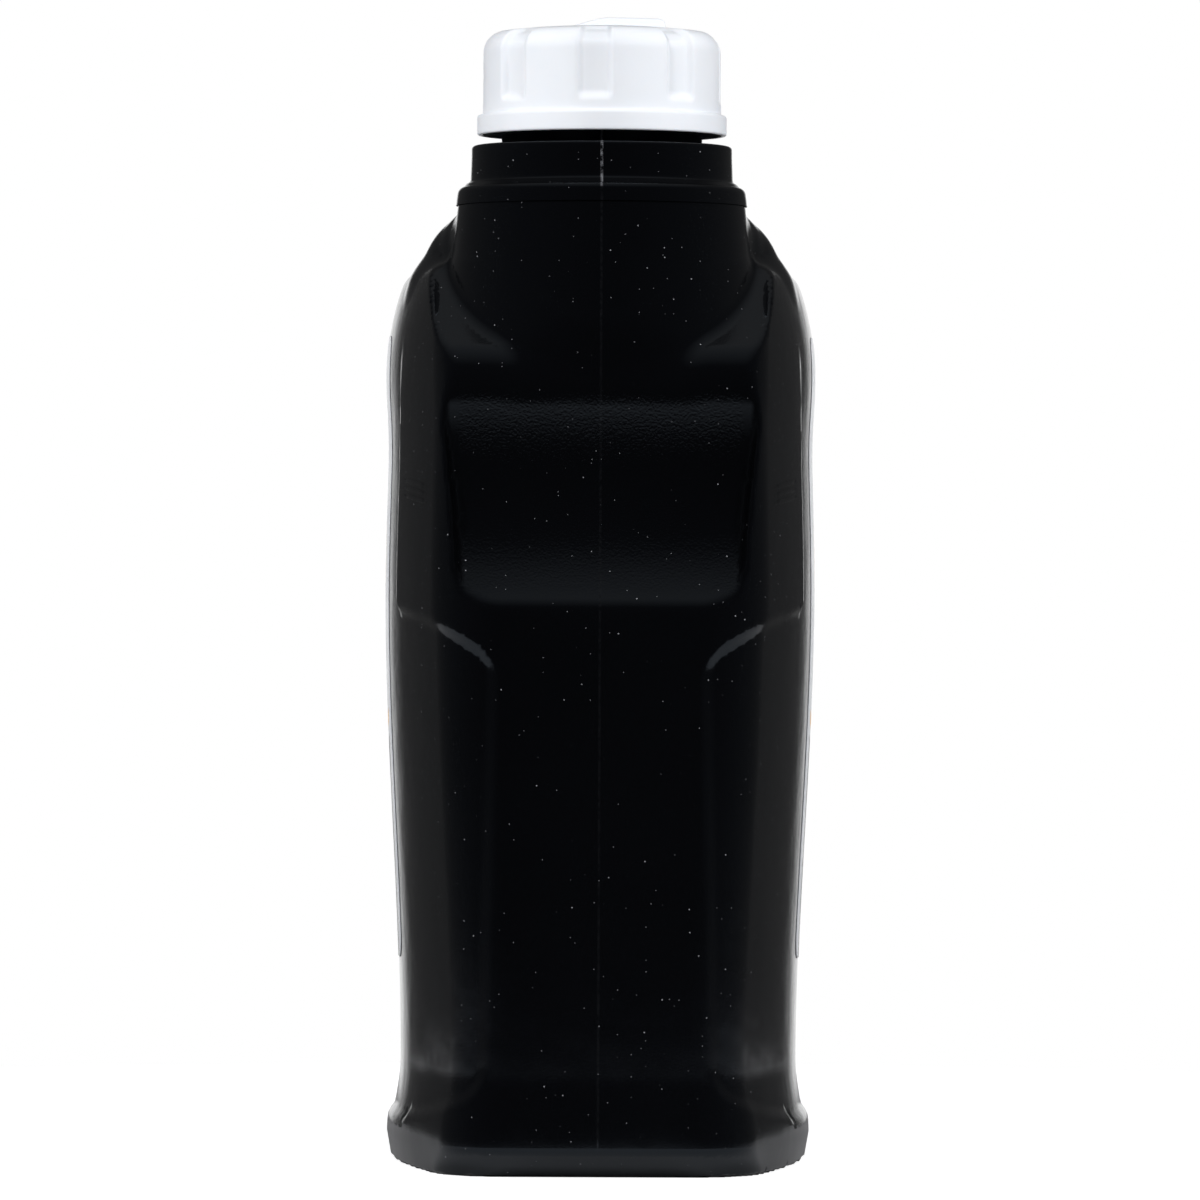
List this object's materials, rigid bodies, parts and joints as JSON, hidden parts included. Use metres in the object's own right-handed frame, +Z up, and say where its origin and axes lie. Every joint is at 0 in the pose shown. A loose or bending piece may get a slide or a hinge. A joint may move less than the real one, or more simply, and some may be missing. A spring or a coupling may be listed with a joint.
{
  "type": "motor oil bottle",
  "caption": "Tall blown jug with a front grip, a hollow rear handle, bowed sides and a fluted white screw cap, full of oil.",
  "frame": {"origin": "middle of the box of the object on the surface it stands on", "axes": "+Z up, +X along the width, -Y towards the spout and grip, +Y towards the handle"},
  "size_m": [0.1174, 0.228, 0.3094],
  "materials": {
    "black_plastic": "satin",
    "white_plastic": "satin",
    "liner_foam": "matte",
    "label_film": "satin",
    "oil": "gloss"
  },
  "bodies": {
    "bottle": {"bottle_body": "black_plastic", "label_left": "label_film", "label_right": "label_film", "oil": "oil"},
    "liner": {"cap_liner": "liner_foam"},
    "cap": {"screw_cap": "white_plastic"}
  },
  "joints": [
    {"name": "cap_rise", "type": "slide", "parent": "bottle", "child": "liner", "axis": [0, 0, 1], "range_m": [0, 0.00751]},
    {"name": "cap_turn", "type": "hinge", "parent": "liner", "child": "cap", "pos_m": [0, -0.064, 0.29], "axis": [0, 0, 1], "range_deg": [0, 540]}
  ],
  "couplings": [
    {"joint": "cap_rise", "follows": "cap_turn", "m_per_rad": 0.00079577}
  ]
}
